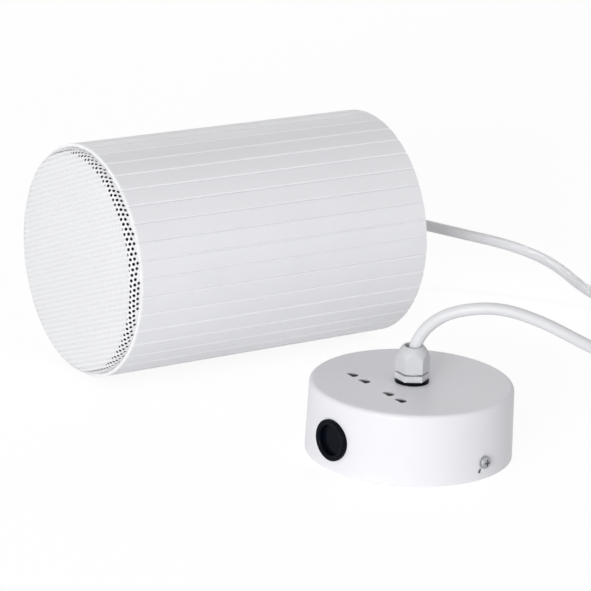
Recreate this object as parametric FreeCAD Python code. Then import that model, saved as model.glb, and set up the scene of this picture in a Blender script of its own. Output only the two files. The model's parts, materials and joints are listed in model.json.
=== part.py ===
import FreeCAD
import Part
import math
import os

# Pendant speaker: a grooved tube with a perforated front, a loudspeaker and a line transformer inside,
# hung by its flex from a round ceiling canopy. It lies as it was photographed: the tube on its side
# along X, front towards -X, and the canopy beside it on its open rim. Millimetres, +Z up.

Vec = FreeCAD.Vector
AXIS_X = Vec(1, 0, 0)
AXIS_Y = Vec(0, 1, 0)
AXIS_Z = Vec(0, 0, 1)
ORIGIN = Vec(0, 0, 0)

# Housing tube
tube_radius = 68.0
tube_length = 195.0
tube_wall = 3.0
groove_count = 40
groove_depth = 0.7
groove_width = 1.6
groove_phase_deg = 2.8
seat_wall = 1.8
front_seat_depth = 16.0
rear_seat_depth = 9.0

# General fits
slip = 0.2
thread_gap = 0.05
near_gap = 0.3

# Front grille
grille_sheet = 1.0
grille_edge_rise = 5.8
grille_crown = 1.2
grille_shoulder = 4.0
grille_hole_radius = 3.4
grille_hole_pitch = 10.6
grille_row_tilt_deg = -17.5
cloth_sheet = 0.5

# Baffle ring and driver fixings
baffle_thickness = 8.0
baffle_width = 14.0
fixing_inset = 7.0
fixing_count = 4
screw_radius = 2.0
screw_head_radius = 3.5
screw_head_height = 2.4
driver_screw_length = 7.0
rod_grip = 6.0

# Loudspeaker
flange_inset = 2.5
flange_lip = 2.0
basket_sheet = 1.5
basket_wall_drop = 22.1
shelf_radius = 34.5
neck_radius = 26.0
neck_depth = 8.0
window_count = 6
window_angle_deg = 38.0
window_start = 5.0
window_length = 14.0
roll_radius = 4.0
roll_inset = 3.5
surround_sheet = 0.7
lip_width = 3.0
outer_lip_width = 5.0
gasket_height = 2.0
gasket_width = 4.0
cone_sheet = 0.9
cone_depth = 17.0
former_inner = 12.6
former_wall = 0.8
former_front = 16.0
former_length = 23.5
winding_build = 0.5
winding_length = 9.5
dust_cap_radius = 17.0
dust_cap_rise = 5.0
dust_cap_sheet = 0.7
spider_sheet = 0.6
spider_wave = 1.1
spider_wave_count = 4
spider_overlap = 5.0
spider_land = 1.0
spider_lip = 3.0
pole_radius = 12.0
pole_vent = 3.0
gap_bore = 14.6
plate_radius = 33.0
plate_thickness = 5.0
magnet_radius = 37.0
magnet_bore = 18.0
magnet_height = 14.0

# Driver terminals
strip_length = 5.0
strip_width = 16.0
strip_height = 12.0
lug_spacing = 8.0
lug_width = 3.0
lug_sheet = 0.8
lug_height = 7.0

# Rear cap
cap_plate = 3.0
cap_rim_wall = 3.0
cap_rim_height = 3.0
spigot_wall = 2.5
spigot_depth = 4.0

# Line transformer
core_width = 42.0
core_height = 35.0
core_stack = 15.0
core_leg = 7.0
winding_overhang = 6.5
transformer_offset = 34.0
clamp_sheet = 1.0
clamp_width = 12.0
clamp_foot = 9.0
small_screw_radius = 1.5
small_head_radius = 2.8
small_head_height = 2.2
small_screw_grip = 2.5

# Cable glands
gland_thread_radius = 6.2
gland_across_flats = 16.4
gland_base_height = 3.4
gland_collar_height = 5.0
gland_tail = 10.0
gland_bore = 4.0
gland_washer_height = 1.8
gland_washer_radius = 9.4
gland_step = 1.2
nut_hex_height = 6.9
nut_total_height = 14.1
nut_mouth_radius = 4.8
nut_crown_radius = 5.8
nut_bulge = 0.5
seal_height = 3.5
locknut_height = 5.0
locknut_across_flats = 18.0
gland_turn_deg = 50.0

# Cord
cord_radius = 3.35
cord_corner_share = 0.45

# Ceiling canopy
canopy_radius = 57.0
canopy_taper = 0.9
canopy_height = 39.4
canopy_sheet = 1.2
canopy_corner = 2.5
canopy_apart = 191.5
canopy_shift = -1.75
canopy_yaw_deg = 10.0
tab_radius = 3.5
tab_hinge = 1.8
tab_width = 2.6
tab_breakout = 0.8
tab_bend_deg = 48.0
tab_line = -23.7
tab_places = (-23.1, -11.4, 11.4, 23.1)
side_screw_height = 9.7
side_screw_length = 7.0
side_hole_radius = 1.6
side_hole_drop = 4.6
side_hole_turn_deg = -2.6

# Cable grommet
grommet_height = 17.0
grommet_hole_radius = 9.5
grommet_flange_radius = 11.55
grommet_face = 1.6
grommet_turn_deg = 177.1
grommet_inner_radius = 11.0
grommet_inner_flange = 2.0
grommet_recess_radius = 8.4
grommet_lip = 1.2
grommet_recess_depth = 2.8
grommet_skin = 1.2

# Ceiling bracket
strap_width = 20.0
strap_sheet = 1.5
strap_clearance = 0.6
strap_tab_height = 14.0
ceiling_hole_radius = 2.5
ceiling_hole_circle = 70.0
cable_entry_radius = 9.0

# Terminal block
block_length = 12.0
block_width = 24.0
block_height = 12.0
block_offset = 19.0
clamp_count = 3
clamp_pitch = 7.5
clamp_bore_radius = 2.0
clamp_wire_radius = 1.2
clamp_screw_radius = 1.5

# Derived places along the tube, measured back from its front rim
seat_radius = tube_radius - seat_wall
bore_radius = tube_radius - tube_wall
insert_radius = seat_radius - slip
baffle_front = front_seat_depth - baffle_thickness
flange_front = baffle_front - basket_sheet
cap_front = tube_length - rear_seat_depth
cap_back = cap_front + cap_plate
gland_reach = gland_washer_height + gland_base_height + gland_step + nut_total_height
rear_reach = cap_back + gland_reach
grille_rise = grille_edge_rise + grille_crown
face_radius = insert_radius - grille_shoulder
baffle_opening = insert_radius - baffle_width
fixing_circle = insert_radius - fixing_inset
flange_radius = insert_radius - flange_inset
flange_opening = baffle_opening - flange_lip
outer_lip_radius = flange_opening + outer_lip_width
roll_middle = flange_opening - roll_inset
cone_radius = roll_middle - roll_radius
spider_outer = neck_radius + spider_overlap
shelf_front = baffle_front + basket_wall_drop
basket_back = shelf_front + neck_depth
motor_front = basket_back + basket_sheet
magnet_front = motor_front + plate_thickness
yoke_front = magnet_front + magnet_height
former_radius = former_inner + former_wall

# The origin lies on the floor under the middle of the whole object
speaker_front = (grille_rise - rear_reach) / 2
yaw = math.radians(canopy_yaw_deg)
screw_reach = (canopy_radius + screw_head_height) * math.cos(yaw) + screw_head_radius * math.sin(yaw)
speaker_y = (canopy_apart + screw_reach - tube_radius) / 2
canopy_y = speaker_y - canopy_apart

# Leads inside: each point is a share of the way from end to end, moved along Y and Z
lead_radius = 0.9
lead_bows = [
    [(0.18, 0.0, 7.0), (0.39, 1.0, 15.0), (0.62, 0.0, 17.0), (0.83, -0.5, 10.0)],
    [(0.18, -1.0, 8.5), (0.39, -1.5, 16.0), (0.62, -1.0, 17.0), (0.83, -0.5, 10.0)],
]
lead_spread = 8.0
lead_end_gap = 0.8
core_bows = [(0.3, -0.8, -0.2), (0.65, -1.6, -0.3), (0.9, -1.5, -0.4)]
core_spread = 3.2
core_start_gap = 0.5
core_straight = 2.0
core_insert = 1.8

# Cord route from the back of the speaker to the coil, then from the coil to the canopy
speaker_route = [
    (56.0, 89.5, 66.5),
    (77.0, 91.4, 68.0),
    (110.0, 91.4, 68.0),
    (136.0, 90.5, 60.5),
    (166.0, 84.5, 51.5),
    (198.0, 75.5, 42.5),
    (224.0, 65.0, 30.5),
    (244.0, 51.5, 11.0),
    (261.0, 33.0, 3.4),
    (275.5, 9.0, 3.4),
    (287.0, -16.0, 3.7),
    (296.75, -41.8, 4.15),
]
canopy_route = [
    (288.25, -90.1, 10.85),
    (270.5, -111.0, 6.0),
    (251.0, -131.0, 3.4),
    (231.0, -150.0, 3.4),
    (209.0, -166.0, 3.4),
    (186.0, -178.5, 3.6),
    (161.0, -185.5, 10.0),
    (137.0, -186.5, 25.0),
    (113.0, -182.5, 42.0),
    (89.0, -174.5, 57.0),
    (66.0, -163.5, 69.5),
    (47.0, -148.5, 81.0),
    (29.0, -133.0, 87.0),
    (12.5, -116.5, 82.5),
    (4.5, -107.5, 74.5),
    (0.3, -102.5, 66.0),
    (-1.75, -100.1, 57.0),
    (-1.75, -100.1, 45.5),
    (-1.8, -100.0, 33.5),
    (-2.3, -98.4, 24.0),
    (-3.2, -94.6, 16.5),
]
coil_centre = (250.75, -58.6)
coil_outer_turn = 49.0
coil_inner_turn = 29.0
coil_layers = 2
tie_sheet = 0.8
tie_width = 14.0
tie_angle_deg = 20.0


def flat(point):
    """A profile point, given as distance along the axis and radius, in the XZ plane."""
    return Vec(point[0], 0, point[1])


def outline(start, *steps):
    """Closed flat face: each step is the next point, or a pair of points for an arc through the first."""
    edges = []
    here = start
    for step in steps + (start,):
        if isinstance(step[0], tuple):
            edges.append(Part.Arc(flat(here), flat(step[0]), flat(step[1])).toShape())
            here = step[1]
        elif step != here:
            edges.append(Part.LineSegment(flat(here), flat(step)).toShape())
            here = step
    return Part.Face(Part.Wire(edges))


def turned(start, *steps):
    """Solid of revolution about X."""
    return outline(start, *steps).revolve(ORIGIN, AXIS_X, 360)


def ring(front, back, inner, outer):
    return turned((front, inner), (back, inner), (back, outer), (front, outer))


def rod(front, back, radius, y=0.0, z=0.0):
    return Part.makeCylinder(radius, back - front, Vec(front, y, z), AXIS_X)


def block(low, high):
    size = [top - bottom for bottom, top in zip(low, high)]
    return Part.makeBox(size[0], size[1], size[2], Vec(*low))


def hexagon(front, back, across_flats, turn_deg=0.0):
    """Hexagonal prism along X."""
    corner = across_flats / math.sqrt(3)
    corners = []
    for side in range(7):
        angle = math.radians(60 * side + turn_deg)
        corners.append(Vec(front, corner * math.cos(angle), corner * math.sin(angle)))
    return Part.Face(Part.makePolygon(corners)).extrude(Vec(back - front, 0, 0))


def on_circle(radius, count, start_deg):
    """Places on a circle about X, as pairs of y and z."""
    for number in range(count):
        angle = math.radians(start_deg + 360.0 * number / count)
        yield radius * math.cos(angle), radius * math.sin(angle)


def group(solids):
    return Part.makeCompound(list(solids))


def cut_all(shape, tools):
    return shape.cut(group(tools))


def in_speaker(shape):
    """Moves a piece from the tube's own axis and front rim to its place on the floor."""
    placed = shape.copy()
    placed.translate(Vec(speaker_front, speaker_y, tube_radius))
    return placed


def in_canopy(shape, yaw_deg=canopy_yaw_deg):
    """Turns a piece that is built about Z to the canopy's heading and moves it to its place."""
    placed = shape.copy()
    placed.rotate(ORIGIN, AXIS_Z, yaw_deg)
    placed.translate(Vec(canopy_shift, canopy_y, 0))
    return placed


def upright(shape, height=0.0):
    """Stands a piece that is built along X on end, along Z."""
    placed = shape.copy()
    placed.rotate(ORIGIN, AXIS_Y, -90)
    placed.translate(Vec(0, 0, height))
    return placed


def pan_screw(seat, tip, radius, head_radius, head_height, head_side):
    """Screw along X with its head on the seat, towards -X or +X, and a cross recess in the head."""
    top = seat + head_side * head_height
    brim = seat + head_side * 0.55 * head_height
    crown = 0.4 * head_radius
    bulge = (seat + head_side * 0.88 * head_height, 0.78 * head_radius)
    screw = turned(
        (tip, 0),
        (tip, radius),
        (seat, radius),
        (seat, head_radius),
        (brim, head_radius),
        (bulge, (top, crown)),
        (top, 0),
    )
    floor = seat + head_side * 0.4 * head_height
    half_slot = 0.14 * head_radius
    half_length = 0.55 * head_radius
    low = min(floor, top + head_side)
    high = max(floor, top + head_side)
    upright_slot = block((low, -half_slot, -half_length), (high, half_slot, half_length))
    level_slot = block((low, -half_length, -half_slot), (high, half_length, half_slot))
    return screw.cut(upright_slot.fuse(level_slot))


# Speaker housing


def make_housing_tube():
    half_groove = math.degrees(math.asin(groove_width / 2 / tube_radius))
    pitch = 360.0 / groove_count

    def place(radius, angle_deg):
        angle = math.radians(90 + groove_phase_deg + angle_deg)
        return Vec(0, radius * math.cos(angle), radius * math.sin(angle))

    edges = []
    for number in range(groove_count):
        start = number * pitch
        valley = place(tube_radius - groove_depth, start)
        land_start = place(tube_radius, start + half_groove)
        land_middle = place(tube_radius, start + pitch / 2)
        land_end = place(tube_radius, start + pitch - half_groove)
        next_valley = place(tube_radius - groove_depth, start + pitch)
        edges.append(Part.LineSegment(valley, land_start).toShape())
        edges.append(Part.Arc(land_start, land_middle, land_end).toShape())
        edges.append(Part.LineSegment(land_end, next_valley).toShape())
    body = Part.Face(Part.Wire(edges)).extrude(Vec(tube_length, 0, 0))
    bores = [
        rod(0, tube_length, bore_radius),
        rod(0, front_seat_depth, seat_radius),
        rod(tube_length - rear_seat_depth, tube_length, seat_radius),
    ]
    return cut_all(body, bores)


def grille_hole_places(reach):
    """Staggered rows of holes over the face, as pairs of y and z."""
    tilt = math.radians(grille_row_tilt_deg)
    row_step = grille_hole_pitch * math.sqrt(3) / 2
    rows = int(reach / row_step)
    for row in range(-rows, rows + 1):
        shift = 0.5 * grille_hole_pitch * (row % 2)
        columns = int(reach / grille_hole_pitch) + 1
        for column in range(-columns, columns + 1):
            across = column * grille_hole_pitch + shift
            up = row * row_step
            if math.hypot(across, up) < reach:
                y = across * math.cos(tilt) - up * math.sin(tilt)
                z = across * math.sin(tilt) + up * math.cos(tilt)
                yield y, z


def on_crown(radius, inset):
    """Profile point on the grille's crowned face, or inside it by the inset."""
    ball = (face_radius ** 2 + grille_crown ** 2) / (2 * grille_crown)
    return (ball - grille_rise - math.sqrt((ball - inset) ** 2 - radius ** 2), radius)


def make_grille_cloth():
    """Thin acoustic cloth that lies against the back of the perforated face."""
    front = grille_sheet + thread_gap
    back = front + cloth_sheet
    edge = face_radius - grille_sheet
    return turned(
        on_crown(0, front),
        (on_crown(edge / 2, front), on_crown(edge, front)),
        on_crown(edge, back),
        (on_crown(edge / 2, back), on_crown(0, back)),
    )


def make_front_grille():
    turn = grille_shoulder * (1 - math.sqrt(0.5))
    inner_edge = grille_sheet - grille_edge_rise
    inner_skirt = insert_radius - grille_sheet
    inner_turn = (grille_shoulder - grille_sheet) * (1 - math.sqrt(0.5))
    inner_start = grille_shoulder - grille_edge_rise
    pan = turned(
        (-grille_rise, 0),
        (on_crown(face_radius / 2, 0), (-grille_edge_rise, face_radius)),
        ((turn - grille_edge_rise, insert_radius - turn), (inner_start, insert_radius)),
        (baffle_front, insert_radius),
        (baffle_front, inner_skirt),
        (inner_start, inner_skirt),
        ((inner_edge + inner_turn, inner_skirt - inner_turn), (inner_edge, face_radius)),
        (on_crown(face_radius / 2, grille_sheet), (grille_sheet - grille_rise, 0)),
    )
    reach = face_radius - grille_hole_radius
    holes = [rod(-2 * grille_rise, 0, grille_hole_radius, y, z) for y, z in grille_hole_places(reach)]
    print("grille holes", len(holes))
    return cut_all(pan, holes)


def make_baffle_ring():
    plate = ring(baffle_front, front_seat_depth, baffle_opening, insert_radius)
    hole = screw_radius + thread_gap
    screw_end = baffle_front + driver_screw_length + near_gap
    rod_end = front_seat_depth - rod_grip - near_gap
    holes = []
    for y, z in on_circle(fixing_circle, fixing_count, 0):
        holes.append(rod(baffle_front, screw_end, hole, y, z))
    for y, z in on_circle(fixing_circle, fixing_count, 45):
        holes.append(rod(rod_end, front_seat_depth, hole, y, z))
    return cut_all(plate, holes)


def make_driver_screws():
    tip = baffle_front + driver_screw_length
    for y, z in on_circle(fixing_circle, fixing_count, 0):
        screw = pan_screw(flange_front, tip, screw_radius, screw_head_radius, screw_head_height, -1)
        screw.translate(Vec(0, y, z))
        yield screw


def make_tie_rods():
    tip = front_seat_depth - rod_grip
    for y, z in on_circle(fixing_circle, fixing_count, 45):
        screw = pan_screw(cap_back, tip, screw_radius, screw_head_radius, screw_head_height, 1)
        screw.translate(Vec(0, y, z))
        yield screw


def make_rear_cap():
    rim_inner = insert_radius - cap_rim_wall
    spigot_radius = bore_radius - slip
    spigot_inner = spigot_radius - spigot_wall
    cap = turned(
        (cap_front, 0),
        (cap_front, spigot_inner),
        (cap_front - spigot_depth, spigot_inner),
        (cap_front - spigot_depth, spigot_radius),
        (cap_front, spigot_radius),
        (cap_front, insert_radius),
        (cap_back + cap_rim_height, insert_radius),
        (cap_back + cap_rim_height, rim_inner),
        (cap_back, rim_inner),
        (cap_back, 0),
    )
    rod_hole = screw_radius + slip
    holes = [rod(cap_front, cap_back, gland_thread_radius + slip)]
    holes += [rod(cap_front, cap_back, rod_hole, y, z) for y, z in on_circle(fixing_circle, fixing_count, 45)]
    small_hole = small_screw_radius + thread_gap
    grip_end = cap_front + small_screw_grip + thread_gap
    for z in clamp_screw_places():
        holes.append(rod(cap_front, grip_end, small_hole, -transformer_offset, z))
    return cut_all(cap, holes)


# Loudspeaker


def make_driver_basket():
    flange_back = baffle_front
    wall_outer = baffle_opening - 2 * slip
    shelf_back = shelf_front + basket_sheet
    shelf_outer = shelf_radius + basket_sheet
    neck_outer = neck_radius + basket_sheet
    frame = turned(
        (flange_front, flange_radius),
        (flange_front, flange_opening),
        (flange_back, flange_opening),
        (shelf_front, shelf_radius),
        (shelf_front, neck_radius),
        (basket_back, neck_radius),
        (basket_back, magnet_bore),
        (motor_front, magnet_bore),
        (motor_front, neck_outer),
        (shelf_back, neck_outer),
        (shelf_back, shelf_outer),
        (flange_back + basket_sheet, wall_outer),
        (flange_back, wall_outer),
        (flange_back, flange_radius),
    )
    start = baffle_front + window_start
    gap = outline(
        (start, shelf_radius - basket_sheet),
        (start + window_length, shelf_radius - basket_sheet),
        (start + window_length, flange_radius),
        (start, flange_radius),
    )
    window = gap.revolve(ORIGIN, AXIS_X, window_angle_deg)
    tools = []
    for number in range(window_count):
        piece = window.copy()
        piece.rotate(ORIGIN, AXIS_X, 360.0 * number / window_count - window_angle_deg / 2)
        tools.append(piece)
    hole = screw_radius + slip
    for y, z in on_circle(fixing_circle, fixing_count, 0):
        tools.append(rod(flange_front, flange_back, hole, y, z))
    return cut_all(frame, tools)


def make_driver_gasket():
    back = flange_front - surround_sheet
    return ring(back - gasket_height, back, outer_lip_radius - gasket_width, outer_lip_radius)


def make_surround():
    front = flange_front - surround_sheet
    back = flange_front
    outer = roll_middle + roll_radius
    inner = roll_middle - roll_radius
    under = roll_radius - surround_sheet
    return turned(
        (front, outer_lip_radius),
        (front, outer),
        ((front - roll_radius, roll_middle), (front, inner)),
        (front, inner - lip_width),
        (back, inner - lip_width),
        (back, roll_middle - under),
        (front, roll_middle - under),
        ((front - under, roll_middle), (front, roll_middle + under)),
        (back, roll_middle + under),
        (back, outer_lip_radius),
    )


def make_cone():
    front = flange_front
    edge = cone_radius - lip_width
    neck = front + cone_depth
    return turned(
        (front, cone_radius),
        (front, edge),
        (neck, former_radius),
        (neck + cone_sheet, former_radius),
        (front + cone_sheet, edge),
        (front + cone_sheet, cone_radius),
    )


def make_dust_cap():
    edge = cone_radius - lip_width
    share = (edge - dust_cap_radius) / (edge - former_radius)
    rim = flange_front + cone_depth * share - near_gap
    apex = rim - dust_cap_rise
    ball = (dust_cap_radius ** 2 + dust_cap_rise ** 2) / (2 * dust_cap_rise)
    middle = apex + ball
    half = dust_cap_radius / 2
    inner_ball = ball - dust_cap_sheet
    inner_edge = math.sqrt(inner_ball ** 2 - (middle - rim) ** 2)
    return turned(
        (apex, 0),
        ((middle - math.sqrt(ball ** 2 - half ** 2), half), (rim, dust_cap_radius)),
        (rim, inner_edge),
        ((middle - math.sqrt(inner_ball ** 2 - half ** 2), half), (apex + dust_cap_sheet, 0)),
    )


def make_voice_coil():
    front = flange_front + former_front
    back = front + former_length
    winding = former_radius + winding_build
    return turned(
        (front, former_inner),
        (back, former_inner),
        (back, winding),
        (back - winding_length, winding),
        (back - winding_length, former_radius),
        (front, former_radius),
    )


def make_spider():
    back = shelf_front
    front = back - spider_sheet
    inner = former_radius + near_gap
    inner_lip = inner + spider_lip / 2
    outer_lip = spider_outer - spider_lip - spider_land
    step = (outer_lip - inner_lip) / (2 * spider_wave_count)
    crests = []
    for number in range(1, 2 * spider_wave_count):
        rise = spider_wave if number % 2 else -spider_wave
        crests.append((rise, inner_lip + number * step))
    front_line = [(front - rise, radius) for rise, radius in crests]
    back_line = [(back - rise, radius) for rise, radius in reversed(crests)]
    points = [(front, inner_lip)] + front_line + [(front, outer_lip), (front, spider_outer)]
    points += [(back, spider_outer), (back, outer_lip)] + back_line + [(back, inner_lip), (back, inner)]
    return turned((front, inner), *points)


def make_pole_yoke():
    return turned(
        (motor_front, pole_vent),
        (motor_front, pole_radius),
        (yoke_front, pole_radius),
        (yoke_front, plate_radius),
        (yoke_front + plate_thickness, plate_radius),
        (yoke_front + plate_thickness, pole_vent),
    )


def strip_front():
    return shelf_front + basket_sheet + (neck_depth - strip_length) / 2


def make_terminal_strip():
    foot = neck_radius + basket_sheet
    front = strip_front()
    low = (front, -strip_width / 2, foot - basket_sheet)
    high = (front + strip_length, strip_width / 2, foot + strip_height)
    board = block(low, high)
    return board.cut(rod(front, front + strip_length, foot))


def make_driver_terminals():
    foot = neck_radius + basket_sheet + strip_height
    middle = strip_front() + strip_length / 2
    for y in (-lug_spacing / 2, lug_spacing / 2):
        low = (middle - lug_sheet / 2, y - lug_width / 2, foot)
        high = (middle + lug_sheet / 2, y + lug_width / 2, foot + lug_height)
        yield block(low, high)


# Line transformer on the rear cap


def clamp_screw_places():
    reach = core_width / 2 + clamp_sheet + clamp_foot / 2
    return -reach, reach


def make_transformer_core():
    front = cap_front - core_height
    y_low = -transformer_offset - core_stack / 2
    y_high = y_low + core_stack
    half = core_width / 2
    body = block((front, y_low, -half), (cap_front, y_high, half))
    windows = []
    for side in (-1, 1):
        z_near = side * core_leg
        z_far = side * 2 * core_leg
        low = (front + core_leg, y_low, min(z_near, z_far))
        high = (cap_front - core_leg, y_high, max(z_near, z_far))
        windows.append(block(low, high))
    return cut_all(body, windows)


def make_transformer_winding():
    front = cap_front - core_height + core_leg + near_gap
    back = cap_front - core_leg - near_gap
    y_reach = core_stack / 2 + winding_overhang
    z_reach = 2 * core_leg - near_gap
    outside = block((front, -y_reach, -z_reach), (back, y_reach, z_reach))
    y_gap = core_stack / 2 + near_gap
    z_gap = core_leg + near_gap
    coil = outside.cut(block((front, -y_gap, -z_gap), (back, y_gap, z_gap)))
    coil.translate(Vec(0, -transformer_offset, 0))
    return coil


def make_transformer_clamp():
    front = cap_front - core_height
    half = core_width / 2
    reach = half + clamp_sheet
    foot = reach + clamp_foot
    sheet = clamp_sheet
    strap = [
        Vec(cap_front, 0, half),
        Vec(front, 0, half),
        Vec(front, 0, -half),
        Vec(cap_front, 0, -half),
        Vec(cap_front, 0, -foot),
        Vec(cap_front - sheet, 0, -foot),
        Vec(cap_front - sheet, 0, -reach),
        Vec(front - sheet, 0, -reach),
        Vec(front - sheet, 0, reach),
        Vec(cap_front - sheet, 0, reach),
        Vec(cap_front - sheet, 0, foot),
        Vec(cap_front, 0, foot),
    ]
    section = Part.Face(Part.makePolygon(strap + strap[:1]))
    clamp = section.extrude(Vec(0, clamp_width, 0))
    clamp.translate(Vec(0, -transformer_offset - clamp_width / 2, 0))
    hole = small_screw_radius + slip
    holes = [rod(cap_front - sheet, cap_front, hole, -transformer_offset, z) for z in clamp_screw_places()]
    return cut_all(clamp, holes)


def make_transformer_screws():
    seat = cap_front - clamp_sheet
    tip = cap_front + small_screw_grip
    for z in clamp_screw_places():
        screw = pan_screw(seat, tip, small_screw_radius, small_head_radius, small_head_height, -1)
        screw.translate(Vec(0, -transformer_offset, z))
        yield screw


# Cable gland, built along X from the outer face of its panel


def make_gland_washer():
    return ring(0, gland_washer_height, gland_thread_radius + slip, gland_washer_radius)


def make_gland_body(panel):
    base = gland_washer_height + gland_base_height
    hex_base = hexagon(gland_washer_height, base, gland_across_flats, gland_turn_deg)
    tail = rod(-panel - gland_tail + locknut_height, gland_washer_height, gland_thread_radius)
    collar = rod(base, base + gland_collar_height, gland_thread_radius)
    solid = hex_base.fuse([tail, collar])
    bore = rod(-panel - gland_tail, base + gland_collar_height, gland_bore)
    return solid.cut(bore).removeSplitter()


def make_gland_seal():
    front = gland_washer_height + gland_base_height + gland_collar_height
    return ring(front, front + seal_height, cord_radius, gland_thread_radius)


def make_gland_nut():
    foot = gland_washer_height + gland_base_height + gland_step
    shoulder = foot + nut_hex_height
    top = foot + nut_total_height
    corner = gland_across_flats / math.sqrt(3)
    cavity = gland_thread_radius + near_gap
    cavity_end = gland_washer_height + gland_base_height + gland_collar_height + seal_height + near_gap
    prism = hexagon(foot, top, gland_across_flats, gland_turn_deg)
    bulge = ((shoulder + top + nut_bulge) / 2, (corner + nut_crown_radius) / 2 + nut_bulge)
    dome = turned((foot, 0), (foot, corner), (shoulder, corner), (bulge, (top, nut_crown_radius)), (top, 0))
    hollow = turned(
        (foot, 0),
        (foot, cavity),
        (cavity_end, cavity),
        (cavity_end + cavity - nut_mouth_radius, nut_mouth_radius),
        (top, nut_mouth_radius),
        (top, 0),
    )
    return prism.common(dome).cut(hollow)


def make_gland_locknut(panel):
    nut = hexagon(-panel - locknut_height, -panel, locknut_across_flats)
    return nut.cut(rod(-panel - locknut_height, -panel, gland_thread_radius + thread_gap))


def make_gland(prefix, panel, place):
    return {
        prefix + "_washer": place(make_gland_washer()),
        prefix + "_body": place(make_gland_body(panel)),
        prefix + "_seal": place(make_gland_seal()),
        prefix + "_nut": place(make_gland_nut()),
        prefix + "_locknut": place(make_gland_locknut(panel)),
    }


def on_rear_cap(shape):
    placed = shape.copy()
    placed.translate(Vec(cap_back, 0, 0))
    return in_speaker(placed)


def on_canopy_top(shape):
    return in_canopy(upright(shape, canopy_height))


# Ceiling canopy, built about Z with its rim at z = 0, grommet towards -X and side screws along Y


def radial(shape, angle_deg, height):
    """Turns a piece that is built along X to point out of the canopy's side."""
    placed = shape.copy()
    placed.rotate(ORIGIN, AXIS_Z, angle_deg)
    placed.translate(Vec(0, 0, height))
    return placed


def wall_radius(height):
    return canopy_radius - canopy_taper * height / (canopy_height - canopy_corner)


def make_canopy_cup():
    top = canopy_height
    shoulder = canopy_radius - canopy_taper
    corner = canopy_corner
    turn = corner * (1 - math.sqrt(0.5))
    inside = corner - canopy_sheet
    inside_turn = inside * (1 - math.sqrt(0.5))
    sheet = canopy_sheet
    cup = turned(
        (0, canopy_radius),
        (top - corner, shoulder),
        ((top - turn, shoulder - turn), (top, shoulder - corner)),
        (top, 0),
        (top - sheet, 0),
        (top - sheet, shoulder - corner),
        ((top - sheet - inside_turn, shoulder - sheet - inside_turn), (top - corner, shoulder - sheet)),
        (0, canopy_radius - sheet),
    )
    cup = upright(cup)
    outside = canopy_radius + sheet
    tools = [upright(rod(top - 2 * sheet, top + sheet, gland_thread_radius + slip))]
    tools.append(radial(rod(outside - 5 * sheet, outside, grommet_hole_radius), grommet_turn_deg, grommet_height))
    hole_height = side_screw_height - side_hole_drop
    for angle in (-90, 90):
        tools.append(radial(rod(outside - 5 * sheet, outside, screw_radius + slip), angle, side_screw_height))
        side_hole = rod(outside - 5 * sheet, outside, side_hole_radius)
        tools.append(radial(side_hole, angle + side_hole_turn_deg, hole_height))
    return cut_all(cup, tools)


def lanced_tab_cut(x, y):
    """Punched cut that frees one tab on all sides but its hinge, wider below where the punch broke out."""
    low = canopy_height - 2 * canopy_sheet
    high = canopy_height + canopy_sheet
    wide = tab_radius + 2 * tab_breakout
    cone = Part.makeCone(wide, tab_radius - tab_breakout, high - low, Vec(0, 0, low))
    cut = cone.common(block((-tab_hinge, -wide, low), (wide, wide, high)))
    cut.translate(Vec(x, y, 0))
    return cut


def lanced_tab(x, y):
    """Tongue with a round end, pressed down into the cup about its hinge between two relief gaps."""
    half = tab_width / 2
    low = canopy_height - canopy_sheet
    disc = Part.makeCylinder(tab_radius - slip, canopy_sheet, Vec(0, 0, low))
    tab = disc.common(block((-tab_hinge, -half, low), (tab_radius, half, canopy_height)))
    tab.rotate(Vec(-tab_hinge, 0, canopy_height), AXIS_Y, tab_bend_deg)
    hinge_end = Vec(-tab_hinge, -half, low + canopy_sheet / 2)
    tab = tab.fuse(Part.makeCylinder(canopy_sheet / 2, tab_width, hinge_end, AXIS_Y))
    tab.translate(Vec(x, y, 0))
    return tab


def make_lanced_canopy():
    cup = in_canopy(make_canopy_cup())
    cuts = [in_canopy(lanced_tab_cut(tab_line, y), 0) for y in tab_places]
    tabs = [in_canopy(lanced_tab(tab_line, y), 0) for y in tab_places]
    return cut_all(cup, cuts).fuse(tabs)


def wall_cone(inset):
    """The tapered space inside the cup's wall, in from its outside by the inset."""
    height = canopy_height - canopy_corner
    return Part.makeCone(canopy_radius - inset, canopy_radius - canopy_taper - inset, height)


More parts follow.
